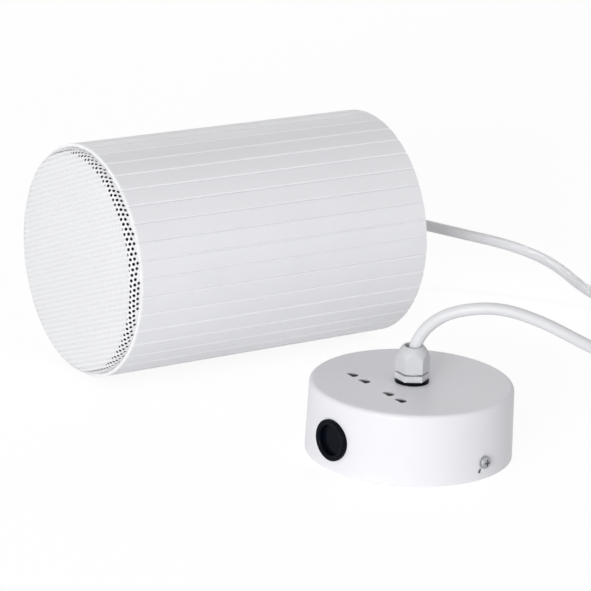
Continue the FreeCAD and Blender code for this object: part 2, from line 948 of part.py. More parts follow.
def make_cable_grommet():
    wall = wall_radius(grommet_height)
    face = wall + grommet_face
    floor = face - grommet_recess_depth
    back = wall - canopy_sheet - grommet_inner_flange
    neck = grommet_hole_radius - slip / 2
    half_face = grommet_face / 2
    rim = grommet_flange_radius - half_face
    shoulder = half_face * math.sqrt(0.5)

    def on_wall(shape):
        return radial(shape, 0, grommet_height)

    flange = turned(
        (wall - canopy_sheet, 0),
        (wall - canopy_sheet, grommet_flange_radius),
        (face - half_face, grommet_flange_radius),
        ((face - half_face + shoulder, rim + shoulder), (face, rim)),
        (face, 0),
    )
    flange = on_wall(flange).cut(wall_cone(-thread_gap))
    inner = on_wall(rod(back, wall, grommet_inner_radius)).common(wall_cone(canopy_sheet + thread_gap))
    sleeve = on_wall(rod(back, face - half_face, neck))
    mouth = grommet_recess_radius + grommet_lip
    lip_turn = grommet_lip * (1 - math.sqrt(0.5))
    pocket = turned(
        (floor, 0),
        (floor, grommet_recess_radius),
        (face - grommet_lip, grommet_recess_radius),
        ((face - lip_turn, grommet_recess_radius + lip_turn), (face, mouth)),
        (face + grommet_face, mouth),
        (face + grommet_face, 0),
    )
    hollow = on_wall(rod(back - grommet_face, floor - grommet_skin, grommet_recess_radius))
    grommet = flange.fuse([inner, sleeve]).cut(on_wall(pocket)).cut(hollow)
    grommet.rotate(ORIGIN, AXIS_Z, grommet_turn_deg)
    return in_canopy(grommet.removeSplitter())


def strap_reach():
    return canopy_radius - canopy_sheet - strap_clearance


def make_ceiling_bracket():
    reach = strap_reach()
    half = strap_width / 2
    sheet = strap_sheet
    strap = [
        Vec(-half, -reach, 0),
        Vec(-half, reach, 0),
        Vec(-half, reach, strap_tab_height),
        Vec(-half, reach - sheet, strap_tab_height),
        Vec(-half, reach - sheet, sheet),
        Vec(-half, sheet - reach, sheet),
        Vec(-half, sheet - reach, strap_tab_height),
        Vec(-half, -reach, strap_tab_height),
    ]
    section = Part.Face(Part.makePolygon(strap + strap[:1]))
    bracket = section.extrude(Vec(strap_width, 0, 0))
    keep = Part.makeCylinder(reach, strap_tab_height)
    tools = [Part.makeCylinder(cable_entry_radius, sheet)]
    for side in (-1, 1):
        place = Vec(0, side * ceiling_hole_circle / 2, 0)
        tools.append(Part.makeCylinder(ceiling_hole_radius, sheet, place))
        screw_hole = rod(reach - 2 * sheet, reach, screw_radius + thread_gap)
        tools.append(radial(screw_hole, 90 * side, side_screw_height))
    return in_canopy(cut_all(bracket.common(keep), tools))


def make_side_screws():
    for angle in (-90, 90):
        tip = canopy_radius - side_screw_length
        screw = pan_screw(canopy_radius, tip, screw_radius, screw_head_radius, screw_head_height, 1)
        yield in_canopy(radial(screw, angle, side_screw_height))


def clamp_places():
    middle = (clamp_count - 1) / 2
    return [(number - middle) * clamp_pitch for number in range(clamp_count)]


def make_terminal_block():
    low = (-block_width / 2, block_offset - block_length / 2, strap_sheet)
    high = (block_width / 2, block_offset + block_length / 2, strap_sheet + block_height)
    body = block(low, high)
    wire_height = strap_sheet + block_height / 3
    tools = []
    for x in clamp_places():
        front = Vec(x, low[1], wire_height)
        tools.append(Part.makeCylinder(clamp_bore_radius, block_length, front, AXIS_Y))
        well = Vec(x, block_offset, wire_height)
        tools.append(Part.makeCylinder(clamp_screw_radius + slip, block_height, well))
    return in_canopy(cut_all(body, tools))


def make_terminal_clamps():
    wire_height = strap_sheet + block_height / 3
    length = block_length - 2 * near_gap
    for x in clamp_places():
        start = Vec(x, block_offset - length / 2, wire_height)
        sleeve = Part.makeCylinder(clamp_bore_radius - thread_gap, length, start, AXIS_Y)
        screw = Part.makeCylinder(clamp_screw_radius, block_height / 2, Vec(x, block_offset, wire_height))
        wire_hole = Part.makeCylinder(clamp_wire_radius, length, start, AXIS_Y)
        yield in_canopy(sleeve.fuse(screw).cut(wire_hole).removeSplitter())


# Cord


def rounded_path(points, label):
    """Wire of straight runs joined by tangent arcs as large as the runs allow."""
    corners = [Vec(*point) for point in points]
    edges = []
    radii = []
    here = corners[0]
    for before, corner, after in zip(corners, corners[1:], corners[2:]):
        into = (corner - before).normalize()
        out = (after - corner).normalize()
        turn = into.getAngle(out)
        trim = cord_corner_share * min((corner - before).Length, (after - corner).Length)
        radius = trim / math.tan(turn / 2)
        start = corner - into * trim
        end = corner + out * trim
        inward = (out - into).normalize()
        middle = corner + inward * (radius / math.cos(turn / 2) - radius)
        edges.append(Part.LineSegment(here, start).toShape())
        edges.append(Part.Arc(start, middle, end).toShape())
        radii.append(round(radius))
        here = end
    edges.append(Part.LineSegment(here, corners[-1]).toShape())
    print(label, "bend radii", radii)
    return Part.Wire(edges)


def tube_along(path, radius, label):
    start = path.Edges[0]
    direction = start.tangentAt(start.FirstParameter)
    section = Part.Wire(Part.makeCircle(radius, start.valueAt(start.FirstParameter), direction))
    tube = path.makePipeShell([section], True, False)
    share = tube.Volume / (math.pi * radius ** 2 * path.Length)
    print(label, "length", round(path.Length, 1), "volume share", round(share, 4))
    return tube


def bowed_route(start, end, bows):
    """Points from start to end, each a share of the way, moved along Y and Z."""
    way = end - start
    points = [start]
    for share, aside, rise in bows:
        points.append(start + way * share + AXIS_Y * aside + AXIS_Z * rise)
    return [tuple(point) for point in points + [end]]


def make_speaker_leads():
    lug_face = strip_front() + (strip_length + lug_sheet) / 2 + slip
    lug_middle = neck_radius + basket_sheet + strip_height + 0.6 * lug_height
    winding_face = cap_front - core_height + core_leg + near_gap
    overhang = core_stack / 2 + winding_overhang / 2
    for number, bows in enumerate(lead_bows):
        side = 2 * number - 1
        start = Vec(lug_face, side * lug_spacing / 2, lug_middle)
        end = Vec(winding_face - lead_end_gap, overhang - transformer_offset, -side * lead_spread / 2)
        label = "speaker_lead_%d" % number
        yield tube_along(rounded_path(bowed_route(start, end, bows), label), lead_radius, label)


def make_cord_cores():
    """The two bared cores from the cord's end in the canopy to the outer terminal clamps."""
    tip = Vec(*canopy_route[-1]) - Vec(canopy_shift, canopy_y, 0)
    heading = (Vec(*canopy_route[-1]) - Vec(*canopy_route[-2])).normalize()
    turn = FreeCAD.Rotation(AXIS_Z, -canopy_yaw_deg)
    tip = turn.multVec(tip + heading * core_start_gap)
    wire_height = strap_sheet + block_height / 3
    face = block_offset - block_length / 2
    for side in (-1, 1):
        start = tip + AXIS_X * side * core_spread / 2
        mouth = Vec(side * clamp_pitch, face - core_straight, wire_height)
        end = mouth + AXIS_Y * (core_straight + core_insert)
        route = bowed_route(start, mouth, core_bows) + [tuple(end)]
        label = "cord_core_%d" % side
        core = tube_along(rounded_path(route, label), lead_radius, label)
        yield in_canopy(core)


def coil_section(grow):
    """Rounded outline of the coil's section, grown by a margin, as a face across the coil."""
    inner = coil_inner_turn - cord_radius - grow
    outer = coil_outer_turn + cord_radius + grow
    low = tie_sheet - grow
    top = tie_sheet + 2 * cord_radius * coil_layers + grow
    soft = cord_radius + grow
    turn = soft * (1 - math.sqrt(0.5))
    return outline(
        (low, inner + soft),
        ((low + turn, inner + turn), (low + soft, inner)),
        (top - soft, inner),
        ((top - turn, inner + turn), (top, inner + soft)),
        (top, outer - soft),
        ((top - turn, outer - turn), (top - soft, outer)),
        (low + soft, outer),
        ((low + turn, outer - turn), (low, outer - soft)),
    )


def beside_coil(shape, turn_deg=0.0):
    placed = upright(shape)
    placed.rotate(ORIGIN, AXIS_Z, turn_deg)
    placed.translate(Vec(coil_centre[0], coil_centre[1], 0))
    return placed


def make_cord_coil():
    return beside_coil(coil_section(0).revolve(ORIGIN, AXIS_X, 360))


def make_cord_tie():
    """Strap round the coil's turns; it bends with them over its width."""
    half_angle = math.degrees(tie_width / 2 / coil_inner_turn)
    band = coil_section(tie_sheet).cut(coil_section(thread_gap))
    strap = band.revolve(ORIGIN, AXIS_X, 2 * half_angle)
    return beside_coil(strap, tie_angle_deg)


def build_nodes():
    nodes = {
        "housing_tube": in_speaker(make_housing_tube()),
        "front_grille": in_speaker(make_front_grille()),
        "grille_cloth": in_speaker(make_grille_cloth()),
        "baffle_ring": in_speaker(make_baffle_ring()),
        "driver_screws": in_speaker(group(make_driver_screws())),
        "tie_rods": in_speaker(group(make_tie_rods())),
        "rear_cap": in_speaker(make_rear_cap()),
        "driver_basket": in_speaker(make_driver_basket()),
        "driver_gasket": in_speaker(make_driver_gasket()),
        "surround": in_speaker(make_surround()),
        "cone": in_speaker(make_cone()),
        "dust_cap": in_speaker(make_dust_cap()),
        "voice_coil": in_speaker(make_voice_coil()),
        "spider": in_speaker(make_spider()),
        "top_plate": in_speaker(ring(motor_front, magnet_front, gap_bore, plate_radius)),
        "magnet_ring": in_speaker(ring(magnet_front, yoke_front, magnet_bore, magnet_radius)),
        "pole_yoke": in_speaker(make_pole_yoke()),
        "terminal_strip": in_speaker(make_terminal_strip()),
        "driver_terminals": in_speaker(group(make_driver_terminals())),
        "transformer_core": in_speaker(make_transformer_core()),
        "transformer_winding": in_speaker(make_transformer_winding()),
        "transformer_clamp": in_speaker(make_transformer_clamp()),
        "transformer_screws": in_speaker(group(make_transformer_screws())),
        "speaker_leads": in_speaker(group(make_speaker_leads())),
        "canopy_cup": make_lanced_canopy(),
        "cable_grommet": make_cable_grommet(),
        "ceiling_bracket": make_ceiling_bracket(),
        "canopy_side_screws": group(make_side_screws()),
        "terminal_block": make_terminal_block(),
        "terminal_clamps": group(make_terminal_clamps()),
        "cord_coil": make_cord_coil(),
        "cord_tie": make_cord_tie(),
        "cord_cores": group(make_cord_cores()),
    }
    nodes.update(make_gland("rear_gland", cap_plate, on_rear_cap))
    nodes.update(make_gland("canopy_gland", canopy_sheet, on_canopy_top))
    for name, route in (("cord_speaker_run", speaker_route), ("cord_canopy_run", canopy_route)):
        nodes[name] = tube_along(rounded_path(route, name), cord_radius, name)
    return nodes


def main():
    os.makedirs("parts", exist_ok=True)
    for name, shape in build_nodes().items():
        solids = shape.Solids
        faults = [solid for solid in solids if not solid.isValid() or solid.Volume <= 0]
        volume = round(sum(solid.Volume for solid in solids))
        print(name, len(solids), "solids", volume, "mm3", "faults", len(faults))
        shape.exportStep(os.path.join("parts", name + ".step"))


main()
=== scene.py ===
import json
import math
import bpy
from mathutils import Matrix, Vector


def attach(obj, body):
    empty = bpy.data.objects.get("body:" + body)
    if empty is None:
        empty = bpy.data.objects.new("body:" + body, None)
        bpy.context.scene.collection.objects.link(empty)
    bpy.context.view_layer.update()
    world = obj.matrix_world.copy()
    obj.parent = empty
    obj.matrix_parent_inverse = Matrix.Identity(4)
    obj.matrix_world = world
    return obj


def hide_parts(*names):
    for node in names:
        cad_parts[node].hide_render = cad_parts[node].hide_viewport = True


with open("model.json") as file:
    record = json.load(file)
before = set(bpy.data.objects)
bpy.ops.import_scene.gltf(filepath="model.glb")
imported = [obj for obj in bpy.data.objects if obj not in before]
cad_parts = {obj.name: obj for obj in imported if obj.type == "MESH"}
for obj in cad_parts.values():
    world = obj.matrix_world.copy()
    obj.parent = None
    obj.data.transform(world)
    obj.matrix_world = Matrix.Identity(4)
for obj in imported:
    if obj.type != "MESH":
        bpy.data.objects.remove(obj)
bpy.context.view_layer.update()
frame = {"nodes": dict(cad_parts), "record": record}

# Lengths are in millimetres unless a comment says otherwise
MM = 0.001
nodes = frame["nodes"]
scene = bpy.context.scene
scene.view_settings.view_transform = "Standard"

# Camera, as the photograph was taken
CAMERA_PLACE = Vector((-860.43, -1281.05, 552.85)) * MM
CAMERA_FORWARD = Vector((0.52509, 0.79449, -0.30505))
CAMERA_UP = Vector((0.13471, 0.27633, 0.95157))
CAMERA_LENS = 172.55
CAMERA_SENSOR = 36.0

# Lamps, in degrees, metres and watts: azimuth, elevation, distance, width, height, power
LAMPS = {
    "key_light": (218.0, 9.0, 3.2, 1.12, 0.95, 56.0),
    "high_light": (205.0, 30.0, 2.0, 1.2, 1.0, 2.6),
    "right_fill": (300.0, 14.0, 2.2, 1.2, 0.9, 2.6),
    "back_fill": (70.0, 25.0, 2.2, 1.2, 1.0, 3.6),
    "left_fill": (142.0, 10.0, 2.2, 1.2, 0.9, 2.2),
}
LAMP_TARGET = Vector((0.0, -0.02, 0.06))
LAMP_SPREAD_DEG = 180.0
CORD_LAMP = (285.0, 38.0, 0.6, 0.05, 0.05, 0.0065)
CORD_LAMP_TARGET = Vector((0.222, 0.06, 0.033))
CORD_LAMP_SPREAD_DEG = 15.0

# Surroundings: light from all sides, and a white floor with a faint shadow, its side and drop in metres
AMBIENT = 0.47
FLOOR_SIDE = 14.0
FLOOR_DROP = 0.0002
FLOOR_ALBEDO = 0.9
FLOOR_GLOW = 0.88
FLOOR_SHADE = 0.17

# Tube: its front rim, its axis, and where the painted highlight along its front edge starts to fade and
# ends
TUBE_FRONT = -101.25
TUBE_Y = 91.4
TUBE_Z = 68.0
RIM_HIGHLIGHT_TO = -100.6
RIM_HIGHLIGHT_FADE = -100.0

# Grille pan, measured from the tube's front rim along its axis
GRILLE_RADIUS = 66.0
GRILLE_SHOULDER = 4.0
GRILLE_FACE = GRILLE_RADIUS - GRILLE_SHOULDER
GRILLE_EDGE = 5.8
GRILLE_CROWN = 1.2
GRILLE_RISE = GRILLE_EDGE + GRILLE_CROWN
GRILLE_SHEET = 0.35

# Holes of the grille: staggered rows on the flat sheet
HOLE_PITCH = 2.6
HOLE_ROW_STEP = 2.91
HOLE_RADIUS = 0.95
HOLE_TILT_DEG = -21.6
HOLES_PAST_SHOULDER = 1.2

# Plain skirt of the grille, inside the tube
SKIRT_COVER = 3.3
SKIRT_END = 8.0
SKIRT_INSET = 0.1
SKIRT_STEPS = 180

# Acoustic cloth behind the grille
CLOTH_REACH = 63.6
CLOTH_GAP = 0.05
CLOTH_RINGS = 24
CLOTH_STEPS = 96

# Cord, with the length in metres
CORD_RADIUS = 3.35
CORD_CURVE_ORDER = 3
CORD_CURVE_STEPS = 8
CORD_ROUND_STEPS = 5
SPEAKER_ROUTE = [
    (56.0, 89.5, 66.5),
    (77.0, 91.4, 68.0),
    (110.0, 91.4, 68.0),
    (136.0, 90.5, 60.5),
    (166.0, 84.5, 51.5),
    (198.0, 75.5, 42.5),
    (224.0, 65.0, 30.5),
    (244.0, 51.5, 11.0),
    (261.0, 33.0, 3.4),
    (275.5, 9.0, 3.4),
    (287.0, -16.0, 3.7),
]
CANOPY_ROUTE = [
    (270.5, -111.0, 6.0),
    (251.0, -131.0, 3.4),
    (231.0, -150.0, 3.4),
    (209.0, -166.0, 3.4),
    (186.0, -178.5, 3.6),
    (161.0, -185.5, 10.0),
    (137.0, -186.5, 25.0),
    (113.0, -182.5, 42.0),
    (89.0, -174.5, 57.0),
    (66.0, -163.5, 69.5),
    (47.0, -148.5, 81.0),
    (29.0, -133.0, 87.0),
    (12.5, -116.5, 82.5),
    (4.5, -107.5, 74.5),
    (0.3, -102.5, 66.0),
    (-1.75, -100.1, 57.0),
    (-1.75, -100.1, 45.5),
    (-1.8, -100.0, 33.5),
    (-2.3, -98.4, 24.0),
    (-3.2, -94.6, 16.5),
]

# Coil of the put-away length, in two layers
COIL_CENTRE = (250.75, -58.6)
COIL_OUTER = 49.0
COIL_INNER = 29.0
COIL_START_DEG = 20.0
COIL_SWEEP_DEG = 1860.0
COIL_POINTS = 72
COIL_LOW = 4.15
COIL_HIGH = 10.85
COIL_RISE_FROM = 0.44
COIL_RISE_SHARE = 0.12

# Range of a pattern's values that its colours and gloss are spread over
PATTERN_LOW = 0.3
PATTERN_HIGH = 0.7

# Stretch of the scratches on brushed metal: a share below 1 draws them out along that axis
BRUSHED_ALONG_Y = (1.0, 0.08, 1.0)
BRUSHED_ALONG_Z = (1.0, 1.0, 0.2)

# Whites of the painted pieces
WHITE_TUBE = (0.838, 0.84, 0.87)
# Painted highlight: a brighter white laid along the tube's front rim, in place of the light its rounded
# edge catches
RIM_HIGHLIGHT_WHITE = (0.94, 0.942, 0.96)
WHITE_GRILLE = (0.845, 0.847, 0.865)
WHITE_CANOPY = (0.806, 0.805, 0.842)


# Shader helpers


def new_material(name):
    material = bpy.data.materials.new(name)
    material.use_nodes = True
    tree = material.node_tree
    return material, tree, tree.nodes["Principled BSDF"]


def coords(tree, stretch=(1.0, 1.0, 1.0)):
    """Object coordinates, in metres, stretched along the axes."""
    place = tree.nodes.new("ShaderNodeTexCoord")
    mapping = tree.nodes.new("ShaderNodeMapping")
    mapping.inputs["Scale"].default_value = stretch
    tree.links.new(place.outputs["Object"], mapping.inputs["Vector"])
    return mapping.outputs["Vector"]


def noise(tree, vector, scale, detail=3.0, roughness=0.5):
    node = tree.nodes.new("ShaderNodeTexNoise")
    node.inputs["Scale"].default_value = scale
    node.inputs["Detail"].default_value = detail
    node.inputs["Roughness"].default_value = roughness
    tree.links.new(vector, node.inputs["Vector"])
    return node.outputs["Fac"]


def wave(tree, vector, scale, direction, distortion):
    node = tree.nodes.new("ShaderNodeTexWave")
    node.bands_direction = direction
    node.inputs["Scale"].default_value = scale
    node.inputs["Distortion"].default_value = distortion
    tree.links.new(vector, node.inputs["Vector"])
    return node.outputs["Fac"]


def cells(tree, vector, scale):
    node = tree.nodes.new("ShaderNodeTexVoronoi")
    node.inputs["Scale"].default_value = scale
    tree.links.new(vector, node.inputs["Vector"])
    return node.outputs["Distance"]


def combine(tree, operation, first, second):
    """Works out one value from two, each a pattern or a plain number."""
    node = tree.nodes.new("ShaderNodeMath")
    node.operation = operation
    for socket, value in zip(node.inputs, (first, second)):
        if isinstance(value, float):
            socket.default_value = value
        else:
            tree.links.new(value, socket)
    return node.outputs["Value"]


def spread(tree, factor, low, high):
    """Maps a pattern's middle range to values from low to high."""
    node = tree.nodes.new("ShaderNodeMapRange")
    node.inputs["From Min"].default_value = PATTERN_LOW
    node.inputs["From Max"].default_value = PATTERN_HIGH
    node.inputs["To Min"].default_value = low
    node.inputs["To Max"].default_value = high
    tree.links.new(factor, node.inputs["Value"])
    return node.outputs["Result"]


def tint(tree, factor, first, second):
    """Colour between two by a pattern."""
    node = tree.nodes.new("ShaderNodeValToRGB")
    ends = node.color_ramp.elements
    ends[0].position = PATTERN_LOW
    ends[1].position = PATTERN_HIGH
    ends[0].color = (*first, 1.0)
    ends[1].color = (*second, 1.0)
    tree.links.new(factor, node.inputs["Fac"])
    return node.outputs["Color"]


def bump(tree, height, strength, distance, below=None):
    """Bumps of a depth in metres, laid over others if there are any."""
    node = tree.nodes.new("ShaderNodeBump")
    node.inputs["Strength"].default_value = strength
    node.inputs["Distance"].default_value = distance
    tree.links.new(height, node.inputs["Height"])
    if below is not None:
        tree.links.new(below, node.inputs["Normal"])
    return node.outputs["Normal"]


def towards_front(tree, vector, full, none):
    """1 in front of one place along the tube's axis, falling to 0 at another, in metres."""
    split = tree.nodes.new("ShaderNodeSeparateXYZ")
    node = tree.nodes.new("ShaderNodeMapRange")
    node.interpolation_type = "SMOOTHSTEP"
    node.inputs["From Min"].default_value = full
    node.inputs["From Max"].default_value = none
    node.inputs["To Min"].default_value = 1.0
    node.inputs["To Max"].default_value = 0.0
    tree.links.new(vector, split.inputs["Vector"])
    tree.links.new(split.outputs["X"], node.inputs["Value"])
    return node.outputs["Result"]


def blend_colour(tree, factor, below, above):
    """Lays a plain colour over another by a mask."""
    node = tree.nodes.new("ShaderNodeMix")
    node.data_type = "RGBA"
    tree.links.new(factor, node.inputs["Factor"])
    tree.links.new(below, node.inputs["A"])
    node.inputs["B"].default_value = (*above, 1.0)
    return node.outputs["Result"]


def shade(colour, factor):
    return tuple(min(1.0, part * factor) for part in colour)


def finish_surface(tree, bsdf, colour, roughness, normal):
    tree.links.new(colour, bsdf.inputs["Base Color"])
    tree.links.new(roughness, bsdf.inputs["Roughness"])
    tree.links.new(normal, bsdf.inputs["Normal"])


# Materials


def painted(name, colour, gloss, peel):
    """Stoved paint: faint mottling, uneven gloss and a fine orange peel."""
    material, tree, bsdf = new_material(name)
    vector = coords(tree)
    mottle = noise(tree, vector, scale=28.0, detail=4.0)
    skin = noise(tree, vector, scale=620.0, detail=2.0)
    grain = noise(tree, vector, scale=2600.0, detail=1.0)
    skin_normal = bump(tree, skin, strength=peel, distance=0.0004)
    finish_surface(
        tree,
        bsdf,
        tint(tree, mottle, shade(colour, 0.985), shade(colour, 1.01)),
        spread(tree, noise(tree, vector, scale=55.0), *gloss),
        bump(tree, grain, strength=0.6 * peel, distance=0.0001, below=skin_normal),
    )
    bsdf.inputs["Specular IOR Level"].default_value = 0.42
    return material


def painted_with_rim_highlight(name, colour, rim, gloss, peel):
    """Stoved paint on the tube, with a painted highlight along its front edge: a brighter white standing in
    for the light its rounded rim catches.
    """
    material = painted(name, colour, gloss, peel)
    tree = material.node_tree
    socket = tree.nodes["Principled BSDF"].inputs["Base Color"]
    body = socket.links[0].from_socket
    # Painted highlight: the front rim is painted a brighter white, fading out behind it along the axis
    mask = towards_front(tree, coords(tree), RIM_HIGHLIGHT_TO * MM, RIM_HIGHLIGHT_FADE * MM)
    tree.links.new(blend_colour(tree, mask, body, rim), socket)
    return material


def moulded(name, colour, gloss=(0.45, 0.58), texture=0.12):
    """Moulded plastic with a fine spark-eroded texture and slight flow marks."""
    material, tree, bsdf = new_material(name)
    vector = coords(tree)
    flow = noise(tree, vector, scale=90.0)
    grain = cells(tree, vector, scale=2400.0)
    finish_surface(
        tree,
        bsdf,
        tint(tree, flow, shade(colour, 0.95), shade(colour, 1.02)),
        spread(tree, noise(tree, vector, scale=240.0), *gloss),
        bump(tree, grain, strength=texture, distance=0.00015),
    )
    return material


def rubber(name, colour, gloss, shine=0.45):
    """Black rubber with a little grey bloom."""
    material, tree, bsdf = new_material(name)
    vector = coords(tree)
    bloom = noise(tree, vector, scale=160.0, detail=5.0, roughness=0.6)
    grain = noise(tree, vector, scale=1800.0, detail=2.0)
    finish_surface(
        tree,
        bsdf,
        tint(tree, bloom, colour, shade(colour, 1.8)),
        spread(tree, bloom, *gloss),
        bump(tree, grain, strength=0.12, distance=0.0001),
    )
    bsdf.inputs["Specular IOR Level"].default_value = shine
    return material


def jacket(name, colour):
    """Extruded flex jacket: satin, with faint swells from the cores under it."""
    material, tree, bsdf = new_material(name)
    vector = coords(tree)
    swell = noise(tree, vector, scale=70.0, detail=2.0)
    skin = noise(tree, vector, scale=1500.0, detail=2.0)
    swell_normal = bump(tree, swell, strength=0.12, distance=0.001)
    finish_surface(
        tree,
        bsdf,
        tint(tree, noise(tree, vector, scale=40.0), shade(colour, 0.97), shade(colour, 1.01)),
        spread(tree, swell, low=0.38, high=0.5),
        bump(tree, skin, strength=0.05, distance=0.0001, below=swell_normal),
    )
    return material


def metal(name, colour, gloss=(0.24, 0.4), brushed=(1.0, 1.0, 1.0)):
    """Plated or bare metal with cloudy plating and fine scratches, drawn out where it is brushed."""
    material, tree, bsdf = new_material(name)
    cloud = noise(tree, coords(tree), scale=130.0, detail=4.0)
    lines = noise(tree, coords(tree, brushed), scale=900.0, roughness=0.65)
    bsdf.inputs["Metallic"].default_value = 1.0
    finish_surface(
        tree,
        bsdf,
        tint(tree, cloud, shade(colour, 0.86), shade(colour, 1.06)),
        spread(tree, lines, *gloss),
        bump(tree, lines, strength=0.08, distance=0.00008),
    )
    return material


def ferrite(name, colour):
    """Ground ceramic magnet: dull, with pits and a sintered grain."""
    material, tree, bsdf = new_material(name)
    grain = noise(tree, coords(tree), scale=700.0, detail=5.0, roughness=0.7)
    finish_surface(
        tree,
        bsdf,
        tint(tree, grain, shade(colour, 0.7), shade(colour, 1.5)),
        spread(tree, grain, low=0.5, high=0.7),
        bump(tree, grain, strength=0.25, distance=0.0002),
    )
    return material


def pressed_paper(name, colour):
    """Felted cone paper with long fibres."""
    material, tree, bsdf = new_material(name)
    fibres = noise(tree, coords(tree, (1.0, 3.0, 0.6)), scale=420.0, detail=6.0, roughness=0.7)
    finish_surface(
        tree,
        bsdf,
        tint(tree, fibres, shade(colour, 0.6), shade(colour, 1.6)),
        spread(tree, fibres, low=0.75, high=0.95),
        bump(tree, fibres, strength=0.4, distance=0.0003),
    )
    return material


def woven(name, colour, threads):
    """Cloth of crossed threads, given by the scale of their waves."""
    material, tree, bsdf = new_material(name)
    vector = coords(tree)
    weft = wave(tree, vector, threads, direction="Y", distortion=0.6)
    warp = wave(tree, vector, threads, direction="Z", distortion=0.6)
    weave = combine(tree, "MULTIPLY", weft, warp)
    fuzz = noise(tree, vector, scale=1.7 * threads)
    height = combine(tree, "ADD", weave, fuzz)
    finish_surface(
        tree,
        bsdf,
        tint(tree, weave, shade(colour, 0.9), shade(colour, 1.04)),
        spread(tree, fuzz, low=0.8, high=0.95),
        bump(tree, height, strength=0.1, distance=0.0002),
    )
    bsdf.inputs["Sheen Weight"].default_value = 0.25
    return material


def fibreboard(name, colour):
    """Stained fibreboard: short fibres and a dull finish."""
    material, tree, bsdf = new_material(name)
    fibres = noise(tree, coords(tree, (1.0, 1.0, 4.0)), scale=380.0, detail=6.0, roughness=0.75)
    finish_surface(
        tree,
        bsdf,
        tint(tree, fibres, shade(colour, 0.7), shade(colour, 1.5)),
        spread(tree, fibres, low=0.6, high=0.85),
        bump(tree, fibres, strength=0.2, distance=0.0002),
    )
    return material


def winding(name, colour, turns):
    """Wire or tape wound in close turns along X, given by the scale of their waves."""
    material, tree, bsdf = new_material(name)
    vector = coords(tree)
    lay = wave(tree, vector, turns, direction="X", distortion=0.2)
    finish_surface(
        tree,
        bsdf,
        tint(tree, lay, shade(colour, 0.8), shade(colour, 1.1)),
        spread(tree, noise(tree, vector, scale=300.0), low=0.3, high=0.5),
        bump(tree, lay, strength=0.3, distance=0.0002),
    )
    return material


def laminated(name, colour):
    """Stack of core sheets, seen on edge."""
    material, tree, bsdf = new_material(name)
    vector = coords(tree)
    sheets = wave(tree, vector, scale=320.0, direction="Y", distortion=0.3)
    bsdf.inputs["Metallic"].default_value = 0.8
    finish_surface(
        tree,
        bsdf,
        tint(tree, sheets, shade(colour, 0.55), shade(colour, 1.1)),
        spread(tree, noise(tree, vector, scale=300.0), low=0.4, high=0.6),
        bump(tree, sheets, strength=0.3, distance=0.0002),
    )
    return material


surfaces = {
    # The tube's paint carries a painted highlight along its front rim
    "tube_paint": painted_with_rim_highlight("tube_paint", WHITE_TUBE, RIM_HIGHLIGHT_WHITE, gloss=(0.36, 0.46), peel=0.05),
    "grille_paint": painted("grille_paint", WHITE_GRILLE, gloss=(0.4, 0.5), peel=0.05),
    "canopy_paint": painted("canopy_paint", WHITE_CANOPY, gloss=(0.42, 0.5), peel=0.03),
    "gland_plastic": moulded("gland_plastic", (0.6, 0.605, 0.625)),
    "black_rubber": rubber("black_rubber", (0.002, 0.0028, 0.0055), gloss=(0.16, 0.24), shine=0.045),
    "cord_jacket": jacket("cord_jacket", (0.715, 0.718, 0.74)),
    "tie_strap": moulded("tie_strap", (0.03, 0.03, 0.03), gloss=(0.35, 0.5)),
    "zinc_screw": metal("zinc_screw", (0.4, 0.405, 0.425), gloss=(0.5, 0.66)),
    "bracket_steel": metal("bracket_steel", (0.62, 0.62, 0.6), gloss=(0.28, 0.45), brushed=BRUSHED_ALONG_Y),
    "acoustic_cloth": woven("acoustic_cloth", (0.8, 0.802, 0.815), threads=420.0),
    "baffle_board": fibreboard("baffle_board", (0.035, 0.032, 0.03)),
    "basket_paint": painted("basket_paint", (0.02, 0.02, 0.021), gloss=(0.35, 0.5), peel=0.08),
    "foam_gasket": rubber("foam_gasket", (0.02, 0.02, 0.02), gloss=(0.7, 0.9)),
    "surround_rubber": rubber("surround_rubber", (0.018, 0.018, 0.02), gloss=(0.35, 0.5)),
    "cone_paper": pressed_paper("cone_paper", (0.03, 0.03, 0.032)),
    "spider_cloth": woven("spider_cloth", (0.45, 0.3, 0.12), threads=700.0),
    "coil_copper": winding("coil_copper", (0.5, 0.2, 0.08), turns=900.0),
    "motor_steel": metal("motor_steel", (0.55, 0.55, 0.54), gloss=(0.3, 0.45), brushed=BRUSHED_ALONG_Z),
    "magnet_ferrite": ferrite("magnet_ferrite", (0.03, 0.03, 0.033)),
    "terminal_board": moulded("terminal_board", (0.2, 0.1, 0.045), gloss=(0.4, 0.55)),
    "terminal_brass": metal("terminal_brass", (0.78, 0.62, 0.3)),
    "core_steel": laminated("core_steel", (0.22, 0.22, 0.23)),
    "winding_tape": winding("winding_tape", (0.72, 0.5, 0.06), turns=160.0),
    "lead_plastic": moulded("lead_plastic", (0.42, 0.02, 0.015), gloss=(0.35, 0.5), texture=0.05),
    "block_plastic": moulded("block_plastic", (0.78, 0.78, 0.74)),
}


def dress_nodes():
    """Gives every CAD node the surface of its slot in the record."""
    for part in frame["record"]["subparts"]:
        node = nodes[part["node"]]
        surface = surfaces[part["material_slot"]]
        if not node.material_slots:
            node.data.materials.append(surface)
        for slot in node.material_slots:
            slot.material = surface


# Pieces


def add_piece(name, vertices, faces, surface):
    """A piece of the housing, with its mesh in metres."""
    mesh = bpy.data.meshes.new(name)
    mesh.from_pydata(vertices, [], faces)
    mesh.update()
    mesh.materials.append(surface)
    piece = bpy.data.objects.new(name, mesh)
    scene.collection.objects.link(piece)
    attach(piece, "housing")
    return piece


def smooth(mesh):
    mesh.polygons.foreach_set("use_smooth", [True] * len(mesh.polygons))


def round_the_axis(along, radius, angle):
    """A point round the tube's axis, in metres, from its place behind the front rim in millimetres."""
    y = TUBE_Y + radius * math.cos(angle)
    z = TUBE_Z + radius * math.sin(angle)
    return Vector((TUBE_FRONT + along, y, z)) * MM


